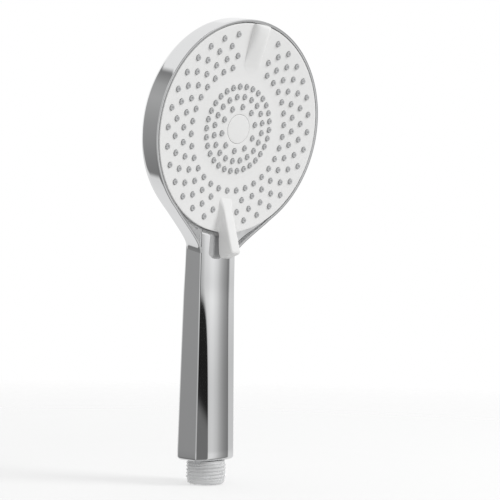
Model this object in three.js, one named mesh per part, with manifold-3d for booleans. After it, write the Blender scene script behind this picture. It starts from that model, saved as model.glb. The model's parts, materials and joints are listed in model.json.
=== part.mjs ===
// Handheld shower head: chromed body, turning spray face, three-way diverter and G1/2 inlet.
// Millimetres. Origin: centre of the inlet's end face. +Z up the handle, -Y the spray side.
import * as THREE from "three";
import { mergeGeometries, mergeVertices } from "three/addons/utils/BufferGeometryUtils.js";
import Module from "manifold-3d";

const wasm = await Module();
wasm.setup();

// ---------------------------------------------------------------- driving dimensions
const GAP = 0.3;                 // clearance between neighbouring pieces
const CUT = 1;                   // how far a cutting tool runs past the face it cuts

const HEAD_R = 57.5;             // outer radius of the head cup
const HEAD_EDGE = 5;             // rounding from the cup's side wall to its back
const HEAD_DOME = 12.7;          // depth of the domed back behind that rounding
const SIDE_SPARE = 2.3;          // the side wall ends this far ahead of the diverter base's back
const LIP_TOP = 2.4;             // front of the cup's lip
const LIP_W = 1.6;               // width of the lip
const WALL = 2.2;                // shell wall
const FACE_HEIGHT = 187.5;       // height of the face's centre above the inlet
const NECK_FORWARD = 2.8285;      // the neck's foot lies this far ahead of the handle's axis
const TILT = THREE.MathUtils.degToRad(14.2);  // the face leans forward by this much

const HANDLE_FOOT = 12.4;          // bottom of the chromed handle above the inlet's end
const HANDLE_SIDE = 13.8;        // half width at the foot
const HANDLE_SIDE_TOP = 12.7;    // half width at the neck
const FRONT_ROOM = 0.2;          // room between the tube's socket and the handle's front wall
const BACK_ROOM = 2.2;           // and between the socket and the back wall
const FRONT_SWELL = 2.2;         // the handle's front is this much deeper at its foot than at the neck
const BACK_SWELL = 1;            // and its back this much
const HANDLE_EDGE = 6.65;        // half depth of the flat sides at the foot
const HANDLE_EDGE_TOP = 5.75;    // and at the neck
const FACET_HALF = 7.5;          // half width of the front facet
const GRIP_BELOW = 28;           // the grip ends this far below the head
const FLARE_ANGLE = THREE.MathUtils.degToRad(38.7);  // slope of the neck's flanks
const FLARE_BLEND = 6;           // softness of the turn from flank to handle
const FLARE_SINK = 1.78;         // the flanks run this far into the handle's sides
const NECK_LENGTH = 12.5;        // the neck runs this far below the head

const PLATE_T = 2.1;             // face plate thickness at the centre
const PLATE_FRONT = -0.5;        // front of the flat centre of the plate
const PLATE_EDGE = 2.3;          // height of the plate's edge
const FLAT_R = 27;               // the plate is flat inside this radius and dished outside
const DISH_POWER = 1.2;          // how the dish steepens towards its rim
const SKIRT_T = 2.1;             // wall of the plate's skirt
const NOZZLE_R = 1.3;            // nozzle tip radius
const NOZZLE_SIDES = 4;
const FACE_SEGMENTS = 32;        // sides of the plate and of the mats that lie in it
const NOZZLE_TAPER = 0.15;       // a nozzle is wider than its tip by this much at its root
const NOZZLE_ROOM = 0.3;         // clearance round a nozzle in its hole
const NOZZLE_PROUD = 0.8;        // tips stand this far out of the plate
const INNER_COUNTS = [10, 20, 30];              // nozzles on each inner ring
const OUTER_SHARES = [0, 0.342, 0.685, 1];      // outer rings, between the land and the rim
const SLOTS = 32;                // places on each outer ring
const RING_MARGIN = 2.4;         // from a mat's inner edge to the first ring of nozzles
const RIM_MARGIN = 5.5;          // from the outermost ring to the plate's edge
const LEVER_HALF = 3.4;          // half width of the selector lever
const LEVER_ROOM = 2.6;          // no nozzle stands closer to the lever
const LEVER_SLOPE = THREE.MathUtils.degToRad(31);
const LEVER_INSIDE = 18.6;       // the lever starts this far inside the plate's edge
const LEVER_OUTSIDE = 13.1;      // and reaches this far past it
const RIDGE_HALF = 5.7;          // half width of the thumb ridge
const RIDGE_LENGTH = 26;         // how far the ridge runs in from the rim
const RIDGE_HEIGHT = 3.2;        // height of the ridge above the plate near the rim
const RIDGE_ROOM = 4.3;          // no nozzle stands closer to the ridge
const CAP_R = 7.7;               // centre cap

const MAT_T = 0.8;               // nozzle mat thickness
const JET_T = 3.0;               // jet plate thickness
const CHAMBER_DEPTH = 1.4;
const LAND_IN = 25.3;            // inner radius of the land between the two chambers
const LAND_W = 5.4;              // width of the land
const BASE_INSIDE = 3.6;         // the diverter base is this much smaller than the plate
const BASE_T = 3.0;              // diverter base thickness
const HUB_R = 5.5;
const PORT_R = 3.4;
const PORT_SEAT = 1.4;           // from a port's edge to the land
const CLICK = 30;                // degrees between the three spray modes
const CHANNEL = 4;               // width of the channels cut through the land
const DUCT_HALF = 7.2;           // half width of the duct behind the base
const DUCT_DEPTH = 2.7;          // depth of the duct behind the base
const DUCT_WALL = 1.2;
const DETENT_RADIUS = 34;
const DETENT_ANGLE = 45;
const DETENT_DEPTH = 4.7;        // the ball's bore runs this far behind the base
const DETENT_LIFT = 0.6;         // depth of the ball's track in the jet plate
const BALL_R = 1.9;
const STOP_ANGLE = 135;
const STOP_HALF = 2;             // half width of the stop's slot
const CENTRE_SCREW_R = 1.7;
const BASE_SCREW_R = 1.5;
const JET_SCREW_R = 1.1;

const THREAD_R = 10.45;          // G1/2 major radius
const THREAD_DEPTH = 1.1;
const THREAD_PITCH = 1.814;
const THREAD_START = 1.6;        // first crest's foot above the inlet's end
const INLET_WALL = 1.45;         // wall between the thread's root and the bore
const INLET_DEPTH = 12;          // depth of the bore that holds the screen and the flow regulator
const SCREEN_FOOT = 5.2;
const SCREEN_T = 1;
const REGULATOR_T = 4.9;
const SEAL_R = 0.5;              // radius of an O-ring's section
const TUBE_R = 4.6;              // water tube outer radius
const TUBE_WALL = 1.0;
const SOCKET_WALL = 1.2;         // wall of the socket that takes the tube's end
const TUBE_BACK = 1.5;           // tube's axis behind the handle's axis
const TUBE_BELOW = 11;           // the tube ends this far below the head
const SPIGOT_TOP = 38;           // top of the inlet connector
const SPIGOT_H = 6;              // height of the connector's spigot

// ---------------------------------------------------------------- colours
const FINISH = {
  chrome: { color: 0xc9ccd0, roughness: 0.06, metalness: 1 },
  plate: { color: 0xe9e9e8, roughness: 0.42, metalness: 0 },
  silicone: { color: 0x8f9193, roughness: 0.6, metalness: 0 },
  translucent: { color: 0xc8cacb, roughness: 0.35, metalness: 0 },
  acetal: { color: 0xdedcd5, roughness: 0.5, metalness: 0 },
  dark: { color: 0x3a3c3f, roughness: 0.55, metalness: 0 },
  rubber: { color: 0x1c1c1d, roughness: 0.75, metalness: 0 },
  steel: { color: 0xb4b6b8, roughness: 0.3, metalness: 1 },
};

// ---------------------------------------------------------------- helpers
const rad = THREE.MathUtils.degToRad;
const faceStart = rad(180 / FACE_SEGMENTS);

function solid(geometry) {
  const bare = geometry.index ? geometry.clone() : geometry;
  bare.deleteAttribute("normal");
  bare.deleteAttribute("uv");
  const merged = mergeVertices(bare, 1e-4);
  return new wasm.Manifold(new wasm.Mesh({
    numProp: 3,
    vertProperties: merged.attributes.position.array,
    triVerts: new Uint32Array(merged.index.array),
  }));
}

function geometryOf(body) {
  const mesh = body.getMesh();
  const geometry = new THREE.BufferGeometry();
  geometry.setAttribute("position", new THREE.BufferAttribute(new Float32Array(mesh.vertProperties), 3));
  geometry.setIndex(new THREE.BufferAttribute(new Uint32Array(mesh.triVerts), 1));
  geometry.computeVertexNormals();
  return geometry;
}

// a turned piece about Z from [radius, z] points, listed anticlockwise with the axis on the left
function turned(points, segments = 32, start = 0) {
  const profile = points.map(([r, z]) => new THREE.Vector2(r, z));
  if (points[0][0] > 0) profile.push(profile[0].clone());
  const geometry = new THREE.LatheGeometry(profile, segments, start);
  geometry.rotateX(Math.PI / 2);
  return solid(geometry);
}

function rod(radius, low, high, segments = 16) {
  return turned([[0, low], [radius, low], [radius, high], [0, high]], segments);
}

function tube(outer, inner, low, high, segments = 24, start = 0) {
  return turned([[inner, low], [outer, low], [outer, high], [inner, high]], segments, start);
}

function block(x0, x1, y0, y1, z0, z1) {
  const geometry = new THREE.BoxGeometry(x1 - x0, y1 - y0, z1 - z0);
  geometry.translate((x0 + x1) / 2, (y0 + y1) / 2, (z0 + z1) / 2);
  return solid(geometry);
}

function ringSeal(radius, thick, z) {
  const geometry = new THREE.TorusGeometry(radius, thick, 5, 16);
  geometry.translate(0, 0, z);
  return solid(geometry);
}

function coilSpring(radius, wire, low, high, turns) {
  const points = [];
  const steps = turns * 8;
  for (let i = 0; i <= steps; i++) {
    const a = (i / 8) * 2 * Math.PI;
    points.push(new THREE.Vector3(radius * Math.cos(a), radius * Math.sin(a), low + ((high - low) * i) / steps));
  }
  const section = new THREE.Shape();
  section.absarc(0, 0, wire, 0, 2 * Math.PI, false);
  const path = new THREE.CatmullRomCurve3(points);
  return solid(new THREE.ExtrudeGeometry(section, { steps, curveSegments: 2, extrudePath: path }));
}

function polar(body, radius, degrees) {
  return body.translate([radius * Math.cos(rad(degrees)), radius * Math.sin(rad(degrees)), 0]);
}

function turnedBy(body, degrees) {
  return body.rotate([0, 0, degrees]);
}

function unite(bodies) {
  return bodies.reduce((sum, body) => sum.add(body));
}

// closed loft through rings of points, all rings with the same number of points
function loft(rings) {
  const count = rings[0].length;
  const positions = rings.flat().flatMap((p) => [p.x, p.y, p.z]);
  const triangles = [];
  for (let r = 0; r + 1 < rings.length; r++) {
    for (let i = 0; i < count; i++) {
      const a = r * count + i;
      const b = r * count + ((i + 1) % count);
      triangles.push(a, b, b + count, a, b + count, a + count);
    }
  }
  const last = (rings.length - 1) * count;
  for (let i = 1; i + 1 < count; i++) {
    triangles.push(0, i + 1, i);
    triangles.push(last, last + i, last + i + 1);
  }
  const geometry = new THREE.BufferGeometry();
  geometry.setAttribute("position", new THREE.BufferAttribute(new Float32Array(positions), 3));
  geometry.setIndex(triangles);
  const body = solid(geometry);
  return body.volume() > 0 ? body : solid(flipped(geometry));
}

function flipped(geometry) {
  const turnedOver = geometry.clone();
  const index = turnedOver.index.array;
  for (let i = 0; i < index.length; i += 3) [index[i], index[i + 1]] = [index[i + 1], index[i]];
  return turnedOver;
}

// ---------------------------------------------------------------- frames
// The head group holds what is built about the face's normal: local Z points out of the face.
const headTurn = Math.PI / 2 + TILT;
const neckEnd = HEAD_R + NECK_LENGTH;
const faceForward = -(NECK_FORWARD + neckEnd * Math.sin(TILT));
const gripTop = FACE_HEIGHT - HEAD_R - GRIP_BELOW;
const tubeTop = FACE_HEIGHT - HEAD_R - TUBE_BELOW;
const tubeSocketR = TUBE_R + GAP + SOCKET_WALL;
const frontAtNeck = tubeSocketR - TUBE_BACK + WALL + FRONT_ROOM;
const backAtNeck = tubeSocketR + TUBE_BACK + WALL + BACK_ROOM;

function headToRow(body) {
  return body.rotate([THREE.MathUtils.radToDeg(headTurn), 0, 0]).translate([0, faceForward, FACE_HEIGHT]);
}

function rowToHead(body) {
  return body.translate([0, -faceForward, -FACE_HEIGHT]).rotate([-THREE.MathUtils.radToDeg(headTurn), 0, 0]);
}

// ---------------------------------------------------------------- stack heights behind the face
const plateBack = PLATE_FRONT - PLATE_T;
const matFront = plateBack - GAP;
const matBack = matFront - MAT_T;
const jetFront = matBack - GAP;
const jetBack = jetFront - JET_T;
const chamberFloor = jetFront - CHAMBER_DEPTH;
const baseFront = jetBack - GAP;
const baseBack = baseFront - BASE_T;
const ductBack = baseBack - DUCT_DEPTH;
const hubTop = jetFront - 1.6;
const headSide = -baseBack - SIDE_SPARE;
const neckSide = headSide + 1.2;
const edgeTurn = THREE.MathUtils.degToRad(64);
const domeEdgeR = HEAD_R - HEAD_EDGE * (1 - Math.cos(edgeTurn));
const domeEdge = headSide + HEAD_EDGE * Math.sin(edgeTurn);
const domeBack = domeEdge + HEAD_DOME;
const domeR = (domeEdgeR ** 2 + HEAD_DOME ** 2) / (2 * HEAD_DOME);

// ---------------------------------------------------------------- radii about the face's normal
const plateR = HEAD_R - LIP_W - GAP;
const skirtInner = plateR - SKIRT_T;
const jetR = skirtInner - 2 * GAP;
const baseR = plateR - BASE_INSIDE;
const baseScrewRadius = baseR - 8;
const stopRadius = baseR - 4.5;
const landOut = LAND_IN + LAND_W;
const landMiddle = LAND_IN + LAND_W / 2;
const portRadius = LAND_IN - PORT_SEAT - PORT_R;
const hubCupR = CAP_R + GAP;
const hubCupOuter = hubCupR + 1.4;
const baseScrews = [0, 90, 180];
const jetScrews = [20, 140, 260];

// front surface of the plate at a radius: flat centre, dished rim
function plateSurface(radius) {
  if (radius <= FLAT_R) return PLATE_FRONT;
  const share = (radius - FLAT_R) / (plateR - FLAT_R);
  return PLATE_FRONT + (PLATE_EDGE - PLATE_FRONT) * share ** DISH_POWER;
}

// half width of the head and neck outline at a distance along the head, from its centre
function outlineHalf(y) {
  const tangentY = -HEAD_R * Math.cos(FLARE_ANGLE);
  if (y >= tangentY) return Math.sqrt(HEAD_R ** 2 - y ** 2);
  const straight = HEAD_R * Math.sin(FLARE_ANGLE) - (tangentY - y) / Math.tan(FLARE_ANGLE);
  const over = straight - HANDLE_SIDE_TOP + FLARE_SINK;
  return HANDLE_SIDE_TOP - FLARE_SINK + (over + Math.sqrt(over ** 2 + FLARE_BLEND ** 2)) / 2;
}

// ---------------------------------------------------------------- handle body
// handle section at a height: flat sides, shallow front chamfers, front facet, rounded back
function handleRing(z, inset) {
  const mix = THREE.MathUtils.lerp;
  const up = Math.min(1, (z - HANDLE_FOOT) / (gripTop - HANDLE_FOOT));
  const neck = Math.max(0, (z - gripTop) / (FACE_HEIGHT - gripTop));
  const slant = inset * 0.6;
  const crown = 0.3;
  const backThins = 8;
  const edgeThins = 3;
  const side = mix(HANDLE_SIDE, HANDLE_SIDE_TOP, up) - inset;
  const edge = mix(HANDLE_EDGE, HANDLE_EDGE_TOP, up) - slant;
  const front = frontAtNeck + FRONT_SWELL * (1 - up) - inset;
  const facet = FACET_HALF - slant;
  const back = backAtNeck + BACK_SWELL * (1 - up) - backThins * neck - inset;
  const backEdge = mix(HANDLE_EDGE, HANDLE_EDGE_TOP, up) - edgeThins * neck - slant;
  const ring = [
    [-side, -edge], [-facet, -front], [0, -front - crown], [facet, -front], [side, -edge],
  ];
  const arcSteps = 9;
  for (let i = 0; i <= arcSteps; i++) {
    const a = (Math.PI * i) / arcSteps;
    ring.push([side * Math.cos(a), backEdge + (back - backEdge) * Math.sin(a)]);
  }
  return ring.map(([x, y]) => new THREE.Vector3(x, y, z));
}

function handleLoft(low, high, inset) {
  const steps = 6;
  const rings = [];
  for (let i = 0; i <= steps; i++) rings.push(handleRing(low + ((high - low) * i) / steps, inset));
  return loft(rings);
}

// neck between head and handle, about the face's normal: outline flanks and a rounded back
function neckLoft(inset, top) {
  const rings = [];
  const low = inset - neckEnd;
  const high = -HEAD_R * Math.cos(FLARE_ANGLE) + 1;
  const steps = 8;
  const depthAtHandle = 4.6;
  const depthAtHead = 7.6;
  for (let i = 0; i <= steps; i++) {
    const y = low + ((high - low) * i) / steps;
    const half = outlineHalf(y) - inset;
    const depth = THREE.MathUtils.lerp(depthAtHandle, depthAtHead, i / steps) - inset * 0.4;
    const ring = [[-half, top], [half, top]];
    const arcSteps = 8;
    for (let k = 0; k <= arcSteps; k++) {
      const x = half * (1 - (2 * k) / arcSteps);
      ring.push([x, -neckSide + inset * 0.6 - depth * (1 - (x / half) ** 2)]);
    }
    rings.push(ring.map(([x, z]) => new THREE.Vector3(x, y, z)));
  }
  return loft(rings);
}

// the cup's back, from its middle over the rounded edge to the side wall
function cupProfile(inset) {
  const points = [];
  const domeSteps = 5;
  const edgeSteps = 4;
  const turn = Math.asin(domeEdgeR / domeR);
  for (let i = 0; i < domeSteps; i++) {
    const a = (turn * i) / domeSteps;
    points.push([(domeR - inset) * Math.sin(a), domeR - domeBack - (domeR - inset) * Math.cos(a)]);
  }
  for (let i = 0; i <= edgeSteps; i++) {
    const a = edgeTurn * (1 - i / edgeSteps);
    points.push([HEAD_R - HEAD_EDGE + (HEAD_EDGE - inset) * Math.cos(a), -headSide - (HEAD_EDGE - inset) * Math.sin(a)]);
  }
  return points;
}

const connectorR = TUBE_R + 2.6;
const tubeSeatFoot = SPIGOT_TOP - SPIGOT_H;
const socketTop = tubeSeatFoot - 2;

function bodyShell() {
  const lipRound = 0.5;
  const mouth = 0.6;
  const cavityR = HEAD_R - LIP_W;
  const handleTop = FACE_HEIGHT - HEAD_R + 12.5;
  const cupOuter = turned([...cupProfile(0), [HEAD_R, LIP_TOP - lipRound], [HEAD_R - lipRound, LIP_TOP], [0, LIP_TOP]], 48);
  const cupInner = turned([
    ...cupProfile(WALL), [cavityR, -headSide], [cavityR, LIP_TOP - 0.8],
    [HEAD_R - mouth, LIP_TOP + 0.05], [HEAD_R - mouth, LIP_TOP + CUT], [0, LIP_TOP + CUT],
  ], 48);
  const floor = 0.4;
  const recessTop = 17.5 - HEAD_R;
  const recess = block(-HEAD_R, HEAD_R, 3 - neckEnd, recessTop, floor, LIP_TOP + CUT)
    .intersect(neckLoft(WALL * 0.8, LIP_TOP + 2 * CUT));
  const neck = headToRow(neckLoft(0, LIP_TOP).subtract(recess));
  const handle = handleLoft(HANDLE_FOOT, handleTop, 0);
  const outer = headToRow(cupOuter).add(neck).add(handle);
  const hollow = handleLoft(socketTop + 2, handleTop - 5, WALL);
  const neckHollow = headToRow(neckLoft(WALL, floor - CUT)
    .intersect(block(-HEAD_R, HEAD_R, 2 - neckEnd, 0, -domeBack, LIP_TOP)));
  const socket = rod(connectorR + GAP, HANDLE_FOOT - CUT, socketTop + 3, 28);
  const bossR = 3.2;
  const pilotDepth = 3.4;
  const bosses = baseScrews.map((angle) => polar(rod(bossR, 1 - domeBack, baseBack - GAP, 12), baseScrewRadius, angle));
  const pilots = baseScrews.map((angle) =>
    polar(rod(BASE_SCREW_R + GAP, baseBack - pilotDepth, baseBack + CUT, 12), baseScrewRadius, angle));
  const bossBody = unite(bosses).intersect(turned([...cupProfile(1), [HEAD_R - 1, 0], [0, 0]], 32)).subtract(unite(pilots));
  return outer.subtract(headToRow(cupInner)).subtract(hollow).subtract(neckHollow).subtract(socket)
    .add(headToRow(bossBody));
}

const inletBore = THREAD_R - THREAD_DEPTH - INLET_WALL;
const regulatorFoot = SCREEN_FOOT + SCREEN_T + 0.5;
const regulatorSeal = regulatorFoot + 2.2;
const connectorSeal = tubeSeatFoot - 4.8;
const sealGroove = 1.2;          // half height of a groove for an O-ring, and a little less than its depth

function inletConnector() {
  const root = THREAD_R - THREAD_DEPTH;
  const flange = HANDLE_FOOT - GAP;
  const chamfer = 0.8;
  const rise = 0.75;
  const profile = [[inletBore, 0], [root - chamfer, 0], [root, chamfer]];
  const turns = Math.floor((flange - THREAD_START) / THREAD_PITCH);
  for (let i = 0; i < turns; i++) {
    const z = THREAD_START + i * THREAD_PITCH;
    profile.push([root, z], [THREAD_R, z + rise], [root, z + 2 * rise]);
  }
  const bore = TUBE_R + GAP;
  const step = 4;
  const grooveR = connectorR - sealGroove - 0.4;
  profile.push(
    [root, flange], [connectorR, flange], [connectorR, connectorSeal - sealGroove], [grooveR, connectorSeal - sealGroove],
    [grooveR, connectorSeal + sealGroove], [connectorR, connectorSeal + sealGroove], [connectorR, tubeSeatFoot],
    [bore + 1.6, tubeSeatFoot], [bore + 1.6, SPIGOT_TOP], [bore, SPIGOT_TOP], [bore, tubeSeatFoot - step],
    [bore - 0.6, tubeSeatFoot - step], [bore - 0.6, INLET_DEPTH], [inletBore, INLET_DEPTH],
  );
  return turned(profile, 20);
}

function inletScreen() {
  const meshR = 0.9;
  const hole = rod(meshR, SCREEN_FOOT - CUT, SCREEN_FOOT + SCREEN_T + CUT, 6);
  const rings = [[0, 1], [0.42, 6], [0.78, 10]];      // share of the bore and count
  const holes = rings.flatMap(([share, count]) =>
    Array.from({ length: count }, (_, i) => polar(hole, share * (inletBore - GAP), (i * 360) / count)));
  return rod(inletBore - GAP, SCREEN_FOOT, SCREEN_FOOT + SCREEN_T, 24).subtract(unite(holes));
}

function flowRegulator() {
  const outer = inletBore - GAP;
  const top = regulatorFoot + REGULATOR_T;
  const grooveLow = regulatorSeal - 1;
  const grooveHigh = regulatorSeal + 1;
  const body = turned([
    [0, regulatorFoot], [outer, regulatorFoot], [outer, grooveLow], [outer - 1.6, grooveLow],
    [outer - 1.6, grooveHigh], [outer, grooveHigh], [outer, top], [0, top],
  ], 24);
  const count = 6;
  const hole = rod(0.8, regulatorFoot - CUT, top + CUT, 6);
  const holes = Array.from({ length: count }, (_, i) => polar(hole, outer * 0.47, ((i + 0.5) * 360) / count));
  return body.subtract(unite(holes));
}

// ---------------------------------------------------------------- diverter
// where the water tube's end lies, seen in the head's own frame
const tubeEnd = new THREE.Vector3(0, TUBE_BACK - faceForward, tubeTop - FACE_HEIGHT)
  .applyAxisAngle(new THREE.Vector3(1, 0, 0), -headTurn);
const postFootR = HUB_R + 3;
const ductIn = -postFootR - 3.5;             // ends of the duct behind the base
const ductOut = -portRadius - 19.5;

function diverterBase() {
  const skin = 1.2;                          // wall round the waterways
  const boreHalf = 4.3;
  const elbowTop = -plateR - 1.9;            // the elbow stays clear of the turning plate
  const elbowEnd = tubeEnd.y + 3.2;
  const post = rod(HUB_R, baseBack, hubTop, 24).add(rod(postFootR, baseBack - 4.7, baseFront - 0.5, 20));
  const disc = rod(baseR, baseBack, baseFront, 40);
  const duct = block(-DUCT_HALF, DUCT_HALF, ductOut, ductIn, ductBack, baseBack + 0.5);
  const outlet = block(-boreHalf - skin, boreHalf + skin, elbowEnd, elbowTop, baseBack - 0.1, tubeEnd.z);
  const bridge = block(-boreHalf - skin, boreHalf + skin, elbowEnd + 6.5, ductOut + 2, baseBack - 1.3, baseBack + 2.7);
  const detentBoss = polar(rod(BALL_R + GAP + 1.3, baseBack - DETENT_DEPTH - CUT, baseBack + 0.5, 12), DETENT_RADIUS, DETENT_ANGLE);
  const socket = rowToHead(rod(tubeSocketR, tubeTop - 6, tubeTop + 6, 20).translate([0, TUBE_BACK, 0]));
  const solidParts = unite([disc, post, duct, outlet, bridge, detentBoss, socket]);
  const pocket = polar(rod(PORT_R + 1.6, baseBack, baseFront + CUT, 20), portRadius, -90);
  const portHole = polar(rod(PORT_R, baseBack - 1.7, baseBack + CUT, 16), portRadius, -90);
  const trough = block(skin - DUCT_HALF, DUCT_HALF - skin, ductOut + skin, ductIn - skin, ductBack - CUT, baseBack - 0.6);
  const outletBore = block(-boreHalf, boreHalf, elbowEnd + CUT, elbowTop - CUT, baseBack + 0.9, tubeEnd.z - 1);
  const bridgeBore = block(-boreHalf, boreHalf, elbowEnd + 7.7, ductOut + 3, baseBack - 0.1, baseBack + 1.7);
  const shaft = block(-boreHalf, boreHalf, ductOut + 1.3, ductOut + 5, baseBack - 1.7, baseBack + 1.7);
  const tubeBore = rowToHead(rod(TUBE_R + GAP, tubeTop - 7, tubeTop + 0.4, 20)
    .add(rod(TUBE_R - TUBE_WALL, tubeTop - 7, tubeTop + 4.8, 20)).translate([0, TUBE_BACK, 0]));
  const screwHoles = baseScrews.flatMap((angle) => [
    polar(rod(BASE_SCREW_R + GAP, baseBack - CUT, baseFront + CUT, 12), baseScrewRadius, angle),
    polar(rod(BASE_SCREW_R + 1.6, baseFront - 1.7, baseFront + CUT, 12), baseScrewRadius, angle),
  ]);
  const detentBore = polar(rod(BALL_R + GAP, baseBack - DETENT_DEPTH, baseFront + CUT, 16), DETENT_RADIUS, DETENT_ANGLE);
  const hubBore = rod(CENTRE_SCREW_R + GAP, baseBack - 3.2, CUT, 12);
  const stopSlot = arcSlot(stopRadius, STOP_HALF, baseFront - 1.8, baseFront + CUT, STOP_ANGLE, CLICK + 4);
  return solidParts.subtract(unite([pocket, portHole, trough, outletBore, bridgeBore, shaft, tubeBore, detentBore, hubBore,
    stopSlot, ...screwHoles]));
}

// a curved slot of a radius and half width about the hub, through a range of heights
function arcSlot(radius, half, low, high, middle, reach) {
  const shape = new THREE.Shape();
  shape.absarc(0, 0, radius + half, rad(middle - reach), rad(middle + reach), false);
  shape.absarc(0, 0, radius - half, rad(middle + reach), rad(middle - reach), true);
  shape.closePath();
  const geometry = new THREE.ExtrudeGeometry(shape, { depth: high - low, bevelEnabled: false, curveSegments: 6 });
  geometry.translate(0, 0, low);
  return solid(geometry);
}

function ductCover() {
  return block(-DUCT_HALF, DUCT_HALF, ductOut, ductIn, ductBack - DUCT_WALL, ductBack - GAP);
}

function jetPlate() {
  const innerWall = hubCupOuter + 2 * GAP;
  const innerWallT = 1.3;
  const outerWallT = 1.8;
  const ring = turned([
    [innerWall, jetBack], [jetR, jetBack], [jetR, jetFront], [jetR - outerWallT, jetFront], [jetR - outerWallT, chamberFloor],
    [landOut, chamberFloor], [landOut, jetFront], [LAND_IN, jetFront], [LAND_IN, chamberFloor],
    [innerWall + innerWallT, chamberFloor], [innerWall + innerWallT, jetFront], [innerWall, jetFront],
  ], 32);
  const ports = [-1, 0, 1].map((step) => polar(rod(PORT_R, jetBack - CUT, jetFront, 12), portRadius, -90 + step * CLICK));
  const bridge = block(LAND_IN - CUT, landOut + CUT, -CHANNEL / 2, CHANNEL / 2, chamberFloor, jetFront + CUT);
  const outerOnly = block(portRadius, landOut + CUT, -CHANNEL / 2, CHANNEL / 2, chamberFloor, jetFront + CUT);
  const groove = arcSlot(DETENT_RADIUS, BALL_R, jetBack - CUT, jetBack + DETENT_LIFT, DETENT_ANGLE, CLICK + 4);
  const screws = jetScrews.flatMap((angle) => [
    polar(rod(JET_SCREW_R + GAP, jetBack - CUT, jetFront + CUT, 8), landMiddle, angle),
    polar(rod(2 * JET_SCREW_R + GAP, jetBack - CUT, jetBack + 1.4, 10), landMiddle, angle),
  ]);
  const lugHalf = STOP_HALF - 0.7;
  const lug = turnedBy(block(stopRadius - lugHalf, stopRadius + lugHalf, -1.8, 1.8, jetBack - 1.2, jetBack + 0.5), STOP_ANGLE);
  return ring.subtract(unite([...ports, turnedBy(bridge, -90), turnedBy(outerOnly, CLICK - 90), groove, ...screws])).add(lug);
}

function machineScrew(headR, headT, shankR, length, top) {
  return turned([[0, top - headT - length], [shankR, top - headT - length], [shankR, top - headT],
    [headR, top - headT], [headR, top - headT * 0.3], [headR * 0.7, top], [0, top]], 12);
}

// ---------------------------------------------------------------- spray face
// every nozzle as [radius, degrees]; the outer rings leave room for the lever and the ridge
function nozzlePlaces() {
  const innerFirst = hubCupOuter + RING_MARGIN;
  const innerLast = LAND_IN - RING_MARGIN - 0.4;
  const inner = INNER_COUNTS.flatMap((count, ring) => {
    const radius = THREE.MathUtils.lerp(innerFirst, innerLast, ring / (INNER_COUNTS.length - 1));
    return Array.from({ length: count }, (_, i) => [radius, -90 + (360 * i) / count]);
  });
  const outer = [];
  OUTER_SHARES.forEach((share, ring) => {
    const radius = THREE.MathUtils.lerp(landOut + RING_MARGIN, plateR - RIM_MARGIN, share);
    for (let i = 0; i < SLOTS; i++) {
      const degrees = 90 + ((i + (ring % 2 ? 0.5 : 0)) * 360) / SLOTS;
      const x = Math.abs(radius * Math.cos(rad(degrees)));
      const y = radius * Math.sin(rad(degrees));
      const byRidge = x < RIDGE_HALF + RIDGE_ROOM && y > plateR - RIDGE_LENGTH - 2;
      const byLever = x < LEVER_HALF + LEVER_ROOM && y < LEVER_INSIDE - plateR + 1;
      if (!byRidge && !byLever) outer.push([radius, degrees]);
    }
  });
  return { inner, outer };
}

function prism(radiusLow, radiusHigh, low, high) {
  const geometry = new THREE.CylinderGeometry(radiusHigh, radiusLow, high - low, NOZZLE_SIDES, 1);
  geometry.rotateX(Math.PI / 2);
  geometry.translate(0, 0, (low + high) / 2);
  return geometry;
}

function placed(geometry, radius, degrees) {
  return geometry.clone().rotateZ(rad(degrees)).translate(radius * Math.cos(rad(degrees)), radius * Math.sin(rad(degrees)), 0);
}

function bareSet(geometries) {
  geometries.forEach((geometry) => {
    geometry.deleteAttribute("normal");
    geometry.deleteAttribute("uv");
  });
  return solid(mergeGeometries(geometries));
}

function nozzleMat(places, inner, outer) {
  const sheet = tube(outer, inner, matBack, matFront, FACE_SEGMENTS, faceStart);
  const tips = places.map(([radius, degrees]) =>
    placed(prism(NOZZLE_R + NOZZLE_TAPER, NOZZLE_R, matFront - 0.3, plateSurface(radius) + NOZZLE_PROUD), radius, degrees));
  return sheet.add(bareSet(tips));
}

// selector lever: a sloping blade that stands on the plate and reaches past its edge
function lever() {
  const root = plateR - LEVER_INSIDE;
  const reach = plateR + LEVER_OUTSIDE;
  const nose = reach - 4.3;
  const slope = Math.tan(LEVER_SLOPE);
  const front = (y) => 0.55 + slope * (y - root - 1);
  const sunk = PLATE_FRONT - 0.4;
  const overLip = LIP_TOP + 0.6;
  const profile = new THREE.Shape();
  profile.moveTo(-root, sunk);
  profile.lineTo(-root - 1, front(root + 1));
  profile.lineTo(-(root + nose) / 2, front((root + nose) / 2));
  profile.lineTo(2 - nose, front(nose - 2));
  profile.lineTo(-nose, front(nose) - 0.8);
  profile.lineTo(-reach, front(nose) - 8.4);
  profile.lineTo(1.9 - reach, front(nose) - 10.1);
  profile.lineTo(-plateR - 0.3, overLip + 0.2);
  profile.lineTo(1.2 - plateR, overLip);
  profile.lineTo(1.2 - plateR, sunk);
  profile.closePath();
  const soft = 0.7;
  const geometry = new THREE.ExtrudeGeometry(profile, {
    depth: 2 * (LEVER_HALF - soft), bevelEnabled: true, bevelSize: soft / 2, bevelThickness: soft, bevelSegments: 1,
    bevelOffset: -soft / 2,
  });
  geometry.translate(0, 0, soft - LEVER_HALF);
  geometry.applyMatrix4(new THREE.Matrix4().set(0, 0, 1, 0, 1, 0, 0, 0, 0, 1, 0, 0, 0, 0, 0, 1));
  return solid(geometry);
}

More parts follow.
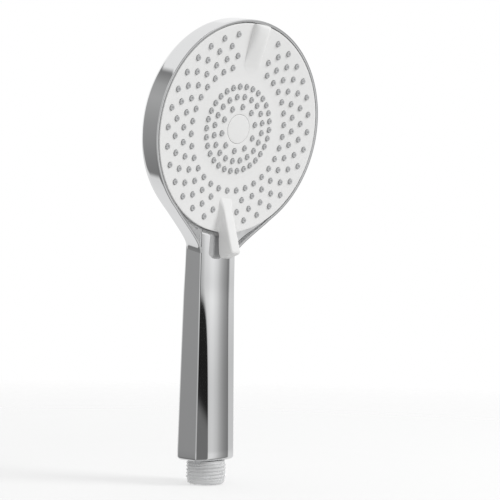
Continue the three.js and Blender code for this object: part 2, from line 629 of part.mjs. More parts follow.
// thumb ridge opposite the lever: a rounded wedge that rises towards the rim
function thumbRidge() {
  const sunk = 0.6;
  const stations = [0, 0.15, 0.4, 0.7, 0.92, 0.985];      // shares of the ridge's length
  const heights = [0, 0.12, 0.5, 0.9, 1, 0.75];           // shares of its height there
  const arcSteps = 6;
  const rings = stations.map((share, row) => {
    const y = plateR - RIDGE_LENGTH * (1 - share);
    const floor = plateSurface(y);
    const half = RIDGE_HALF * Math.min(1, 0.6 + 2 * share) * Math.min(1, (plateR - 0.2) / Math.hypot(y, RIDGE_HALF));
    const ring = [[-half, floor - sunk], [half, floor - sunk]];
    for (let k = 0; k <= arcSteps; k++) {
      const a = (Math.PI * k) / arcSteps;
      ring.push([half * Math.cos(a), floor + RIDGE_HEIGHT * heights[row] * Math.sin(a) + 0.02]);
    }
    return ring.map(([x, z]) => new THREE.Vector3(x, y, z));
  });
  return loft(rings);
}

function facePlate(places) {
  const flangeBack = jetFront - 2.9;
  const flangeT = 1;
  const skirtBack = jetBack + 1.2;
  const soft = 0.5;
  const front = [[plateR, plateSurface(plateR - soft) - 0.4], [plateR - soft, plateSurface(plateR - soft)]];
  for (const share of [0.72, 0.32]) {
    const radius = THREE.MathUtils.lerp(FLAT_R, plateR, share);
    front.push([radius, plateSurface(radius)]);
  }
  front.push([FLAT_R, PLATE_FRONT]);
  const turnedPlate = turned([
    [HUB_R + GAP, flangeBack], [hubCupOuter, flangeBack], [hubCupOuter, plateBack],
    [LAND_IN, plateBack], [LAND_IN, jetFront + GAP], [landOut, jetFront + GAP], [landOut, plateBack],
    [skirtInner, plateBack], [skirtInner, skirtBack], [plateR, skirtBack],
    ...front, [hubCupR, PLATE_FRONT], [hubCupR, flangeBack + flangeT], [HUB_R + GAP, flangeBack + flangeT],
  ], FACE_SEGMENTS, faceStart);
  const holeR = NOZZLE_R + NOZZLE_TAPER + NOZZLE_ROOM;
  const holes = places.map(([radius, degrees]) =>
    placed(prism(holeR, holeR - NOZZLE_TAPER, plateBack - CUT, PLATE_EDGE + CUT), radius, degrees));
  const pilots = jetScrews.map((angle) =>
    polar(rod(JET_SCREW_R + GAP, jetFront, plateBack + 0.8, 8), landMiddle, angle));
  return turnedPlate.add(thumbRidge()).subtract(bareSet(holes)).subtract(unite(pilots)).add(lever());
}

function centreCap() {
  const front = PLATE_FRONT;
  const inner = CAP_R - 0.9;
  const crown = 0.15;
  return turned([[0, front - 1.0], [inner, front - 1.0], [inner, front - 2.2], [CAP_R, front - 2.2],
    [CAP_R, front - 0.1], [CAP_R - 0.4, front + 0.05], [0, front + crown]], 24);
}

// ---------------------------------------------------------------- assembly
const object = new THREE.Group();
const head = new THREE.Group();
head.position.set(0, faceForward, FACE_HEIGHT);
head.rotation.x = headTurn;
object.add(head);

function put(group, name, body, finish) {
  const mesh = new THREE.Mesh(geometryOf(body), new THREE.MeshStandardMaterial(FINISH[finish]));
  mesh.name = name;
  group.add(mesh);
}

const { inner: innerPlaces, outer: outerPlaces } = nozzlePlaces();
const allPlaces = [...innerPlaces, ...outerPlaces];
const tubeAxis = (body) => body.translate([0, TUBE_BACK, 0]);
const washerT = 0.8;
const centreHeadT = 1.6;
const springFoot = baseBack - DETENT_DEPTH + 0.5;

put(object, "body_shell", bodyShell(), "chrome");
put(object, "inlet_connector", inletConnector(), "translucent");
put(object, "connector_o_ring", ringSeal(connectorR - SEAL_R - 0.25, SEAL_R, connectorSeal), "rubber");
put(object, "inlet_screen", inletScreen(), "steel");
put(object, "flow_regulator", flowRegulator(), "dark");
put(object, "regulator_o_ring", ringSeal(inletBore - GAP - SEAL_R - 0.25, SEAL_R, regulatorSeal), "rubber");
put(object, "water_tube", tubeAxis(tube(TUBE_R, TUBE_R - TUBE_WALL, SPIGOT_TOP + 1.5, tubeTop, 20)), "acetal");
put(head, "diverter_base", diverterBase(), "acetal");
put(head, "duct_cover", ductCover(), "acetal");
baseScrews.forEach((angle, i) => put(head, `base_screw_${i + 1}`,
  polar(machineScrew(BASE_SCREW_R + 1.2, 1.1, BASE_SCREW_R, 4.2, baseFront - 0.25), baseScrewRadius, angle), "steel"));
put(head, "port_seal", polar(tube(PORT_R + 1.3, PORT_R - 0.4, baseFront - 1.6, baseFront, 20), portRadius, -90), "rubber");
put(head, "port_spring", polar(coilSpring(PORT_R + 0.5, 0.16, baseBack + 0.4, baseFront - 2.0, 2), portRadius, -90), "steel");
put(head, "detent_spring", polar(coilSpring(BALL_R - 0.3, 0.2, springFoot, baseFront - 2 * BALL_R + 0.1, 3),
  DETENT_RADIUS, DETENT_ANGLE), "steel");
put(head, "detent_ball", polar(solid(new THREE.SphereGeometry(BALL_R, 10, 6)).translate([0, 0, jetBack + GAP - BALL_R]),
  DETENT_RADIUS, DETENT_ANGLE), "steel");
put(head, "centre_washer", tube(CAP_R - 0.6, CENTRE_SCREW_R + GAP, hubTop + GAP, hubTop + GAP + washerT, 20), "steel");
put(head, "centre_screw", machineScrew(2 * CENTRE_SCREW_R, centreHeadT, CENTRE_SCREW_R, 8,
  hubTop + 2 * GAP + washerT + centreHeadT), "steel");
put(head, "jet_plate", jetPlate(), "acetal");
jetScrews.forEach((angle, i) => put(head, `jet_screw_${i + 1}`,
  polar(machineScrew(2 * JET_SCREW_R, 0.9, JET_SCREW_R, 3.2, 0).rotate([180, 0, 0]).translate([0, 0, jetBack + 0.1]),
    landMiddle, angle), "steel"));
put(head, "nozzle_mat_inner", nozzleMat(innerPlaces, hubCupOuter + GAP, LAND_IN - GAP), "silicone");
put(head, "nozzle_mat_outer", nozzleMat(outerPlaces, landOut + GAP, skirtInner - GAP), "silicone");
put(head, "face_plate", facePlate(allPlaces), "plate");
put(head, "centre_cap", centreCap(), "plate");

export default object;
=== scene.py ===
"""Handheld shower head: chromed body, turning spray face, silicone nozzles and threaded inlet."""

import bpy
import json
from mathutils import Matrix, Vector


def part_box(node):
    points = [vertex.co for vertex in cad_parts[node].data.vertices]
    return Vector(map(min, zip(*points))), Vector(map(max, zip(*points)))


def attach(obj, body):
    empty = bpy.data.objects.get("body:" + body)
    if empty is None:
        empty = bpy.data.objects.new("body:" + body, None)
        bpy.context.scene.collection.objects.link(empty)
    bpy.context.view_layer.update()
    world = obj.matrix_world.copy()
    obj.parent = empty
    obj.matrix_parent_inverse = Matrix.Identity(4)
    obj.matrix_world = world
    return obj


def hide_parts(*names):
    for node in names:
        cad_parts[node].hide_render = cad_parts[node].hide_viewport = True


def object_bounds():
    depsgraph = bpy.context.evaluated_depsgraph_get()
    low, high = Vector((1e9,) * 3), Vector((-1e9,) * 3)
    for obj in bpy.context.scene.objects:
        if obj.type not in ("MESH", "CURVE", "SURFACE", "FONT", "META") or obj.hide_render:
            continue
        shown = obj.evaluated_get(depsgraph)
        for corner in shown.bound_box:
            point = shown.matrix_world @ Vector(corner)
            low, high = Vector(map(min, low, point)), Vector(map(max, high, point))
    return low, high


bl_info = {
    "name": "Handheld Shower Head",
    "version": (1, 0, 0),
    "blender": (4, 5, 0),
    "location": "View3D > Sidebar > Shower Head",
    "description": "Builds a handheld shower head on its mechanical frame",
    "category": "Add Mesh",
}

import json
import math

import bmesh
import bpy
import numpy as np
from bpy.props import FloatProperty, FloatVectorProperty, IntProperty, PointerProperty
from mathutils import Matrix, Vector

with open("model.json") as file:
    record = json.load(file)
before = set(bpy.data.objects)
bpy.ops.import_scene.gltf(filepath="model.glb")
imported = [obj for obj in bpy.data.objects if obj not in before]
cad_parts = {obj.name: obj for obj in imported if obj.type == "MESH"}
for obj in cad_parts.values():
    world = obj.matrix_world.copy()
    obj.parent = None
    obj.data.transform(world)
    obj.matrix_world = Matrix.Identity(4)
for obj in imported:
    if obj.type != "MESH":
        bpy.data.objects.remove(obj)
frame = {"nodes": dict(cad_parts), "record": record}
cad_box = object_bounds()

MM = 0.001
SELECTOR = next(j for j in frame["record"]["behaviour"]["joints"] if j["name"] == "spray_selector")
FACE_AT = Vector(SELECTOR["pos_m"])
FACE_OUT = Vector(SELECTOR["axis"]).normalized()
FACE_UP = FACE_OUT.cross(Vector((1, 0, 0)))
# from the face's own axes (X right, Y up the face, Z out of it) to the object's
FACE_TURN = Matrix((Vector((1, 0, 0)), FACE_UP, FACE_OUT)).transposed()
FACE = Matrix.Translation(FACE_AT) @ FACE_TURN.to_4x4()
HEAD_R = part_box("body_shell")[1].x
HANDLE_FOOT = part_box("body_shell")[0].z
CAP_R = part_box("centre_cap")[1].x


# ------------------------------------------------------------------ sizes and colours
def length(name, metres, about):
    return FloatProperty(name=name, description=about, default=metres, min=0, unit="LENGTH",
                         precision=5)


def colour(name, rgb, about):
    return FloatVectorProperty(name=name, description=about, default=rgb, size=3,
                               subtype="COLOR", min=0, max=1)


class ShowerBodySizes(bpy.types.PropertyGroup):
    """Sizes of the chromed body"""
    wall: length("Wall", 2.2 * MM, "Wall of the shell")
    lip: length("Lip width", 1.6 * MM, "Width of the lip round the face")
    lip_top: length("Lip height", 2.4 * MM, "Front of the lip, ahead of the face's plane")
    side: length("Side depth", 8.0 * MM, "Depth of the side wall behind the face's plane")
    edge_round: length("Edge round", 5 * MM, "Rounding from the side wall to the back")
    dome: length("Dome depth", 12.7 * MM, "Depth of the domed back behind its rounded edge")
    flare_angle: FloatProperty(name="Flare", description="Slope of the neck's flanks",
                               default=math.radians(38.7), subtype="ANGLE")
    flare_blend: length("Flare blend", 6 * MM, "Softness of the turn from flank to handle")
    flare_sink: length("Flare sink", 1.78 * MM, "How far the flanks run into the handle's sides")
    foot_half: length("Foot half width", 13.8 * MM, "Half width of the handle at its foot")
    neck_half: length("Neck half width", 12.7 * MM, "Half width of the handle at the neck")
    columns: IntProperty(name="Columns", description="Facets round the head", default=220, min=32)


class ShowerFaceSizes(bpy.types.PropertyGroup):
    """Sizes of the turning spray face"""
    edge: length("Edge height", 2.3 * MM, "Height of the plate's edge")
    centre: length("Centre depth", 0.5 * MM, "Depth of the flat centre")
    flat: length("Flat radius", 27 * MM, "The plate is flat inside this radius")
    ridge: length("Ridge height", 3.15 * MM, "Height of the thumb ridge near the rim")
    ridge_half: length("Ridge half width", 5.7 * MM, "Half width of the thumb ridge")
    ridge_length: length("Ridge length", 26 * MM, "How far the thumb ridge runs in from the rim")
    lever_half: length("Lever half width", 3.4 * MM, "Half width of the selector lever")
    nozzle: length("Nozzle radius", 1.32 * MM, "Radius of a nozzle's tip")
    proud: length("Nozzle height", 0.8 * MM, "How far a nozzle stands out of the plate")
    hole: length("Hole radius", 1.62 * MM, "Radius of a nozzle's hole in the plate")


class ShowerInletSizes(bpy.types.PropertyGroup):
    """Sizes of the threaded inlet"""
    major: length("Major radius", 10.45 * MM, "Outer radius of the thread")
    depth: length("Thread depth", 0.55 * MM, "Depth of the thread")
    pitch: length("Pitch", 1.814 * MM, "Height of one turn")
    bore: length("Bore radius", 7.9 * MM, "Radius of the bore that holds the screen")


class ShowerColours(bpy.types.PropertyGroup):
    """Colours of the finishes"""
    chrome: colour("Chrome", (0.83, 0.835, 0.84), "Polished chrome plating")
    plate: colour("Plate", (0.80, 0.80, 0.795), "Satin plastic of the face")
    silicone: colour("Silicone", (0.48, 0.485, 0.49), "Soft nozzles")
    inlet: colour("Inlet", (0.88, 0.885, 0.89), "Milky plastic of the inlet")
    acetal: colour("Acetal", (0.72, 0.70, 0.65), "Waterways and diverter")
    steel: colour("Steel", (0.60, 0.61, 0.62), "Screws, springs and screen")
    rubber: colour("Rubber", (0.018, 0.018, 0.019), "Seals")
    dark: colour("Regulator", (0.05, 0.052, 0.058), "Flow regulator")
    floor: colour("Floor", (0.90, 0.90, 0.90), "Studio floor")


# ------------------------------------------------------------------ shader and node trees
class Value:
    """A node's output that can be used in a Python expression."""

    def __init__(self, nodes, socket):
        self.nodes = nodes
        self.socket = socket

    def __add__(self, other):
        return self.nodes.maths("ADD", self, other)

    def __mul__(self, other):
        return self.nodes.maths("MULTIPLY", self, other)

    def __truediv__(self, other):
        return self.nodes.maths("DIVIDE", self, other)

    def __rtruediv__(self, other):
        return self.nodes.maths("DIVIDE", other, self)

    __radd__ = __add__
    __rmul__ = __mul__


class Nodes:
    """Adds nodes to a tree and links them."""

    def __init__(self, tree):
        self.tree = tree

    def add(self, kind, settings=None, inputs=None, output=0):
        node = self.tree.nodes.new(kind)
        for key, value in (settings or {}).items():
            setattr(node, key, value)
        self.feed(node, inputs or {})
        return Value(self, node.outputs[output])

    def feed(self, node, inputs):
        for key, value in inputs.items():
            socket = node.inputs[key]
            if isinstance(value, Value):
                self.tree.links.new(value.socket, socket)
            else:
                socket.default_value = value

    def maths(self, operation, *values):
        return self.add("ShaderNodeMath", {"operation": operation}, dict(enumerate(values)))

    def mix(self, share, first, second):
        """A colour that goes from the first to the second by a share."""
        inputs = {0: share, 6: first, 7: second}
        return self.add("ShaderNodeMix", {"data_type": "RGBA"}, inputs, 2)

    def split(self, vector):
        """The X, Y and Z of a vector."""
        node = self.add("ShaderNodeSeparateXYZ", None, {0: vector}).socket.node
        return [Value(self, output) for output in node.outputs]

    def ramp(self, factor, stops):
        """Grey by a factor from 0 to 1, straight between stops of place and grey."""
        node = self.tree.nodes.new("ShaderNodeValToRGB")
        band = node.color_ramp
        while len(band.elements) < len(stops):
            band.elements.new(1.0)
        for element, (place, grey) in zip(band.elements, stops):
            element.position = place
            element.color = (grey, grey, grey, 1)
        self.feed(node, {0: factor})
        return Value(self, node.outputs[0])


def new_material(name, looks):
    """A material whose surface is built by looks(nodes, shader)."""
    material = bpy.data.materials.new(name)
    material.use_nodes = True
    shader = material.node_tree.nodes["Principled BSDF"]
    looks(Nodes(material.node_tree), shader)
    return material


def noise(nodes, scale, detail=2.0, roughness=0.5):
    """Noise over the object's own coordinates."""
    place = nodes.add("ShaderNodeTexCoord", output=3)
    return nodes.add("ShaderNodeTexNoise", None, {
        "Vector": place, "Scale": scale, "Detail": detail, "Roughness": roughness,
    })


def tinted(nodes, rgb, by, spread):
    """The colour, made a little darker and lighter over the surface."""
    dark = [c * (1 - spread) for c in rgb] + [1]
    light = [min(1, c * (1 + spread)) for c in rgb] + [1]
    return nodes.mix(by, dark, light)


def bump(nodes, height, strength, distance):
    return nodes.add("ShaderNodeBump", None, {
        "Strength": strength, "Distance": distance, "Height": height,
    })


def chrome_looks(rgb):
    def looks(nodes, shader):
        wipe = noise(nodes, 60, 4, 0.6)
        wave = noise(nodes, 28, 1)
        nodes.feed(shader, {
            "Base Color": tinted(nodes, rgb, wipe, 0.015),
            "Metallic": 1.0,
            "Roughness": 0.03 + 0.035 * wipe,
            "Normal": bump(nodes, wave, 0.06, 0.0002),
        })
    return looks


def plastic_looks(rgb, rough, grain_scale, grain_depth, coat=0.0):
    def looks(nodes, shader):
        cloud = noise(nodes, 45, 3)
        grain = noise(nodes, grain_scale, 2, 0.6)
        nodes.feed(shader, {
            "Base Color": tinted(nodes, rgb, cloud, 0.02),
            "Coat Weight": coat,
            "Coat Roughness": 0.25,
            "Roughness": rough - 0.04 + 0.08 * cloud,
            "Normal": bump(nodes, grain, 0.25, grain_depth),
        })
    return looks


def milky_looks(rgb):
    def looks(nodes, shader):
        cloud = noise(nodes, 90, 3)
        nodes.feed(shader, {
            "Base Color": tinted(nodes, rgb, cloud, 0.04),
            "Transmission Weight": 0.35,
            "IOR": 1.46,
            "Roughness": 0.22 + 0.1 * cloud,
            "Normal": bump(nodes, noise(nodes, 900, 2), 0.15, 0.00004),
        })
    return looks


def metal_looks(rgb):
    def looks(nodes, shader):
        brushed = noise(nodes, 700, 3)
        nodes.feed(shader, {
            "Base Color": tinted(nodes, rgb, brushed, 0.05),
            "Metallic": 1.0,
            "Roughness": 0.24 + 0.14 * brushed,
            "Normal": bump(nodes, brushed, 0.1, 0.00003),
        })
    return looks


def finish(name):
    """The material of a finish, made once."""
    if name in bpy.data.materials:
        return bpy.data.materials[name]
    colours = bpy.context.scene.shower_colours
    looks = {
        "polished_chrome": chrome_looks(colours.chrome),
        "satin_plate": plastic_looks(colours.plate, 0.38, 1600, 0.00003, 0.1),
        "soft_silicone": plastic_looks(colours.silicone, 0.55, 1200, 0.00004),
        "milky_inlet": milky_looks(colours.inlet),
        "acetal": plastic_looks(colours.acetal, 0.45, 900, 0.00004),
        "regulator_plastic": plastic_looks(colours.dark, 0.5, 900, 0.00004),
        "seal_rubber": plastic_looks(colours.rubber, 0.7, 700, 0.00005),
        "stainless_steel": metal_looks(colours.steel),
    }
    return new_material(name, looks[name])


# ------------------------------------------------------------------ mesh helpers
def grid_faces(rows, columns, closed_rows=False):
    """Quads of a grid of points, closed round the columns and, if asked, round the rows."""
    faces = []
    for r in range(rows if closed_rows else rows - 1):
        below = r * columns
        above = ((r + 1) % rows) * columns
        for c in range(columns):
            d = (c + 1) % columns
            faces.append((below + c, below + d, above + d, above + c))
    return faces


def shell_of(points, closed_rows=False):
    """A closed mesh from rows of points; open rows get a point in the middle of each end."""
    rows, columns, _ = points.shape
    places = points.reshape(-1, 3)
    faces = grid_faces(rows, columns, closed_rows)
    if not closed_rows:
        places = np.vstack([places, points[0].mean(0), points[-1].mean(0)])
        first = rows * columns
        last = (rows - 1) * columns
        faces += [(first, (c + 1) % columns, c) for c in range(columns)]
        faces += [(first + 1, last + c, last + (c + 1) % columns) for c in range(columns)]
    return places, faces


def make_piece(name, shells, finish_name, place=None, sharp=40):
    """One object from shells of points and faces, smooth but for edges over sharp degrees."""
    build = bmesh.new()
    for places, faces in shells:
        verts = [build.verts.new(p) for p in places]
        for face in faces:
            build.faces.new([verts[i] for i in face])
    if place is not None:
        build.transform(place)
    for part in loose_parts(build):
        outwards(part)
    tidy_shading(build, sharp)
    mesh = bpy.data.meshes.new(name)
    build.to_mesh(mesh)
    build.free()
    mesh.materials.append(finish(finish_name))
    piece = bpy.data.objects.new(name, mesh)
    bpy.context.scene.collection.objects.link(piece)
    return piece


def loose_parts(build):
    """The faces of each separate shell."""
    left = set(build.faces)
    while left:
        stack = [left.pop()]
        part = set(stack)
        while stack:
            for edge in stack.pop().edges:
                for face in edge.link_faces:
                    if face in left:
                        left.remove(face)
                        part.add(face)
                        stack.append(face)
        yield part


def outwards(faces):
    """Turns a shell's faces over if it holds a negative volume."""
    volume = 0.0
    for face in faces:
        a = face.verts[0].co
        for b, c in zip(face.verts[1:], face.verts[2:]):
            volume += a.dot(b.co.cross(c.co))
    if volume < 0:
        for face in faces:
            face.normal_flip()


def tidy_shading(build, sharp):
    """Smooth faces, with hard edges where they turn by more than sharp degrees."""
    limit = math.radians(sharp)
    for face in build.faces:
        face.smooth = True
    for edge in build.edges:
        edge.smooth = len(edge.link_faces) == 2 and edge.calc_face_angle(0) < limit


def smoothstep(low, high, x):
    """0 below low, 1 above high and an even swing between them."""
    t = np.clip((x - low) / (high - low), 0, 1)
    return t * t * (3 - 2 * t)


def arc(centre, radius, start, end, steps):
    """Points of a round stretch, angles in degrees."""
    turn = np.radians(np.linspace(start, end, steps + 1))
    return np.stack([centre[0] + radius * np.cos(turn), centre[1] + radius * np.sin(turn)], 1)


# ------------------------------------------------------------------ chromed body
NECK_END = 72 * MM       # bottom of the neck below the face's centre
CAVITY_FLOOR = 9 * MM    # the cup's wall goes this deep behind the face's plane
CURL = math.radians(64)  # the side wall's rounding turns this far before the dome starts
# depth of the neck's spine behind the face's plane, by the drop below its centre, in mm
SPINE_DROP, SPINE_DEPTH = np.array([(20, 48, 63, 78), (19.4, 16.7, 14.4, 12.1)]) * MM


def flank_half(sizes, drop):
    """Half width of the neck at a distance below the face's centre."""
    slope = math.tan(sizes.flare_angle)
    tangent = HEAD_R * math.cos(sizes.flare_angle)
    straight = HEAD_R * math.sin(sizes.flare_angle) - (drop - tangent) / slope
    over = straight - sizes.neck_half + sizes.flare_sink
    blended = (over + np.sqrt(over**2 + sizes.flare_blend**2)) / 2
    return sizes.neck_half - sizes.flare_sink + blended


def head_outline(sizes):
    """The head and neck from the front, anticlockwise from the top, and the outward normals."""
    quarter = 0.5 * (sizes.columns // 2)
    round_steps = int(quarter * 1.3)
    flank_steps = int(quarter * 0.5)
    chord_steps = 8
    leaving = 4 * MM         # the flank leaves the head's circle over this drop
    turn = np.linspace(0, math.pi - sizes.flare_angle, round_steps, endpoint=False)
    left = [np.stack([-HEAD_R * np.sin(turn), HEAD_R * np.cos(turn)], 1)]
    drop = np.linspace(HEAD_R * math.cos(sizes.flare_angle), NECK_END, flank_steps)
    half = flank_half(sizes, drop)
    blend = smoothstep(0, 1, (drop - drop[0]) / leaving)
    half = half * blend + (1 - blend) * np.sqrt(np.maximum(HEAD_R**2 - drop**2, 0))
    left.append(np.stack([-half, -drop], 1))
    chord = np.linspace(-half[-1], 0, chord_steps, endpoint=False)[1:]
    left.append(np.stack([chord, np.full(len(chord), -NECK_END)], 1))
    left = np.vstack(left)
    right = left[1:][::-1] * [-1, 1]
    points = np.vstack([left, [[0, -NECK_END]], right])
    ahead = np.roll(points, -1, 0) - np.roll(points, 1, 0)
    normals = np.stack([ahead[:, 1], -ahead[:, 0]], 1)
    normals /= np.linalg.norm(normals, axis=1, keepdims=True)
    outward = np.sign((normals * points).sum(1, keepdims=True))
    return points, normals * outward


def back_height(sizes, x, y):
    """The body's back, below the face's plane: a dome that runs into the handle's back."""
    edge_r = HEAD_R - sizes.edge_round * (1 - math.cos(CURL))
    edge_z = sizes.side + sizes.edge_round * math.sin(CURL)
    dome_r = (edge_r**2 + sizes.dome**2) / (2 * sizes.dome)
    radius = np.minimum(np.hypot(x, y), HEAD_R)
    dome = edge_z + sizes.dome - dome_r + np.sqrt(dome_r**2 - np.minimum(radius, edge_r) ** 2)
    past = np.clip(radius - (HEAD_R - sizes.edge_round), 0, sizes.edge_round)
    curl = sizes.side + np.sqrt(sizes.edge_round**2 - past**2)
    cup = np.where(radius < edge_r, dome, curl)
    drop = np.maximum(-y, 1e-9)
    depth = np.interp(drop, SPINE_DROP, SPINE_DEPTH)
    on_flank = drop > HEAD_R * math.cos(sizes.flare_angle)
    on_circle = np.sqrt(np.maximum(HEAD_R**2 - y**2, 0))
    half = np.maximum(np.where(on_flank, flank_half(sizes, drop), on_circle), 1e-6)
    across = np.clip(1 - (x / half) ** 2, 0, 1)
    spine = sizes.side + (depth - sizes.side) * across**0.6
    mix = smoothstep(26 * MM, 58 * MM, drop)
    return -(cup * (1 - mix) + spine * mix)


def head_rows(sizes):
    """Rows from the middle of the back, over the side and the lip, to the middle inside."""
    edge, out = head_outline(sizes)
    centre = np.hypot(edge[:, 0], edge[:, 1])
    reach = smoothstep(0, 5 * MM, centre - HEAD_R)    # 0 round the head, 1 on the neck
    cavity = edge / centre[:, None] * (HEAD_R - sizes.lip)
    rows = []

    def row(flat, height):
        rows.append(np.column_stack([flat, np.broadcast_to(height, len(edge))]))

    def inset(depth):
        depth = np.broadcast_to(depth, len(edge))
        return edge - out * depth[:, None]

    sweep = np.sin(np.radians(np.linspace(0, 90, 34)[1:]))
    for t in sweep:
        flat = edge * t
        row(flat, back_height(sizes, flat[:, 0], flat[:, 1]))
    lip_round = 0.45 * MM
    for height in np.linspace(-sizes.side, sizes.lip_top - lip_round, 9)[1:]:
        row(inset(0), height)
    for a in (22.5, 45, 67.5, 90):
        turn = math.radians(a)
        below = lip_round * (1 - math.sin(turn))
        row(inset(lip_round * (1 - math.cos(turn))), sizes.lip_top - below)
    flat_end = sizes.lip - 0.35 * MM
    for inwards, below in ((0, 0), (0.12 * MM, 0.04 * MM), (0.22 * MM, 0.16 * MM)):
        start_depth = flat_end + inwards
        start = sizes.lip_top - below
        row(inset(start_depth), start)
    foot_depth = sizes.lip - 0.1 * MM + 0.4 * MM * reach
    foot_height = 1.0 * MM * (1 - reach) + 0.3 * MM * reach
    for t in (0.35, 0.7, 0.9, 1):
        row(inset(start_depth + (foot_depth - start_depth) * t), start + (foot_height - start) * t)
    foot = rows[-1][:, :2]
    wall_top = (0.8 * (1 - reach) - 0.6 * reach) * MM
    for t in np.linspace(0, 1, 8)[1:]:
        row(foot * (1 - t) + cavity * t, foot_height * (1 - t) + wall_top * t)
    for height in (-1.5 * MM, -5 * MM, -CAVITY_FLOOR):
        row(cavity, height)
    roof = 1.15 * sizes.wall
    for t in np.linspace(0.985, 0.02, 12):
        flat = cavity * t
        height = back_height(sizes, flat[:, 0], flat[:, 1]) + roof
        row(flat, np.minimum(height, -CAVITY_FLOOR))
    return np.array(rows)


GRIP_END = 102 * MM      # the handle tapers up to here
STRAIGHT_END = 112 * MM  # its rows are level up to here
CUP_MEETS = 130 * MM     # and bend to the cup's round edge by here


def handle_section(sizes, height, inset=0.0):
    """Handle outline at a height: front facet, shallow chamfers, flat sides, rounded back.

    Each size is given at the foot, less what it loses up to the grip's end and in the neck.
    """
    up = np.clip((height - HANDLE_FOOT) / (GRIP_END - HANDLE_FOOT), 0, 1)
    neck = max(0.0, (height - GRIP_END) / (FACE_AT.z - GRIP_END))
    side = sizes.foot_half + (sizes.neck_half - sizes.foot_half) * up
    edge = (6.65 - 0.9 * up) * MM
    front = (9.2 - 2.2 * up) * MM
    back = (12.88 - up - 8 * neck) * MM
    back_edge = (6.65 - 0.9 * up - 3 * neck) * MM
    facet = 7.5 * MM
    crown = 0.55 * MM
    soft = (0.12 + 0.2 * up) * MM
    corner = 0.6 * MM
    across = np.linspace(0, side - corner - 0.1 * MM, 28)
    crowned = front + crown * (1 - (across / facet) ** 2)
    chamfer = front + (edge - front) * (across - facet) / (side - facet)
    merge = np.maximum(soft - np.abs(crowned - chamfer), 0) ** 2 / (4 * soft)
    points = list(zip(across, np.minimum(crowned, chamfer) - merge))
    points += rounded(points[-1], (side, edge), (side, -back_edge), corner, 6)
    points += [(side, f) for f in np.linspace(edge - corner - 0.3 * MM, -back_edge, 5)[1:]]
    bulge = back - back_edge
    for a in np.linspace(0, math.pi / 2, 13)[1:]:
        points.append((side * math.cos(a), -back_edge - bulge * math.sin(a)))
    right = np.array(points)
    left = right[1:-1][::-1] * [-1, 1]
    ring = np.vstack([right, left])
    if inset:
        ring = ring * [(side - inset) / side, (front - inset) / front]
    return np.column_stack([ring[:, 0], -ring[:, 1], np.full(len(ring), height)])


def rounded(before, corner, after, radius, steps):
    """A corner's round stretch, as a short parabola between points a radius away on each side."""
    corner = np.array(corner)
    start = corner + radius * unit(np.array(before) - corner)
    end = corner + radius * unit(np.array(after) - corner)
    curve = []
    for t in np.linspace(0, 1, steps + 1):
        curve.append(tuple((1 - t) ** 2 * start + 2 * t * (1 - t) * corner + t * t * end))
    return curve


def unit(vector):
    size = np.linalg.norm(vector)
    return vector / size if size else vector


def meet_cup(ring, radius):
    """Moves a ring's points up the handle until they lie a radius from the face's axis."""
    rise = -np.sqrt(radius**2 - ring[:, 0] ** 2)
    height = FACE_AT.z + (rise - FACE_UP.y * (ring[:, 1] - FACE_AT.y)) / FACE_UP.z
    return np.column_stack([ring[:, 0], ring[:, 1], height])


def handle_rows(sizes):
    """Rows up the outside of the handle and back down its hollow and its socket."""
    corner = 1.9 * MM
    socket = 7.6 * MM
    low = HANDLE_FOOT + corner
    inner_foot = 36 * MM
    first = handle_section(sizes, low)
    rows = []
    for a in np.linspace(-90, 0, 6):
        turn = math.radians(a)
        shrink = corner * (1 - math.cos(turn))
        ring = handle_section(sizes, low, shrink)
        ring[:, 2] = low + corner * math.sin(turn)
        rows.append(ring)
    for height in np.linspace(low, STRAIGHT_END, 26)[1:]:
        rows.append(handle_section(sizes, height))
    top = meet_cup(handle_section(sizes, CUP_MEETS), HEAD_R - sizes.lip + 0.1 * MM)
    for t in np.linspace(0, 1, 9)[1:]:
        ring = handle_section(sizes, STRAIGHT_END + (CUP_MEETS - STRAIGHT_END) * t)
        ring[:, 2] = STRAIGHT_END + (top[:, 2] - STRAIGHT_END) * t
        rows.append(ring)
    narrowed, lowered = [0.82, 0.7, 1], [0, 0, 2 * MM]
    rows.append(rows[-1] * narrowed - lowered)
    for height in np.linspace(STRAIGHT_END, inner_foot, 8):
        rows.append(handle_section(sizes, height, sizes.wall))
    angle = np.arctan2(first[:, 1], first[:, 0])
    ways = np.stack([np.cos(angle), np.sin(angle)], 1)
    for height in (inner_foot - 0.5 * MM, HANDLE_FOOT + 0.3 * MM, HANDLE_FOOT):
        rows.append(np.column_stack([socket * ways, np.full(len(angle), height)]))
    return np.array(rows)


class SHOWER_OT_body(bpy.types.Operator):
    """Chromed body: head cup, flared neck and handle"""
    bl_idname = "shower.body"
    bl_label = "Chromed Body"

    def execute(self, context):
        sizes = context.scene.shower_body
        points, faces = shell_of(head_rows(sizes))
        head = [FACE @ Vector(p) for p in points], faces
        handle = shell_of(handle_rows(sizes), closed_rows=True)
        piece = make_piece("chromed_body", [head, handle], "polished_chrome", sharp=32)
        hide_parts("body_shell")
        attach(piece, "handle")
        return {"FINISHED"}


# ------------------------------------------------------------------ spray face
PLATE_GAP = 0.3 * MM     # running gap round the plate
# share of the thumb ridge's length, from its inner end, and share of its height there
RISE_ALONG = (0, 0.12, 0.25, 0.4, 0.55, 0.7, 0.82, 0.9, 0.95, 0.98, 1)
RISE = (0, 0.07, 0.25, 0.5, 0.74, 0.92, 1, 0.99, 0.93, 0.82, 0.6)


def plate_rim():
    """The plate's outer radius."""
    return HEAD_R - bpy.context.scene.shower_body.lip - PLATE_GAP


def dish_height(sizes, radius):
    """Front of the plate without its ridge: flat centre and a rim that rises."""
    share = np.clip((radius - sizes.flat) / (plate_rim() - sizes.flat), 0, 1)
    return -sizes.centre + (sizes.edge + sizes.centre) * share**1.2


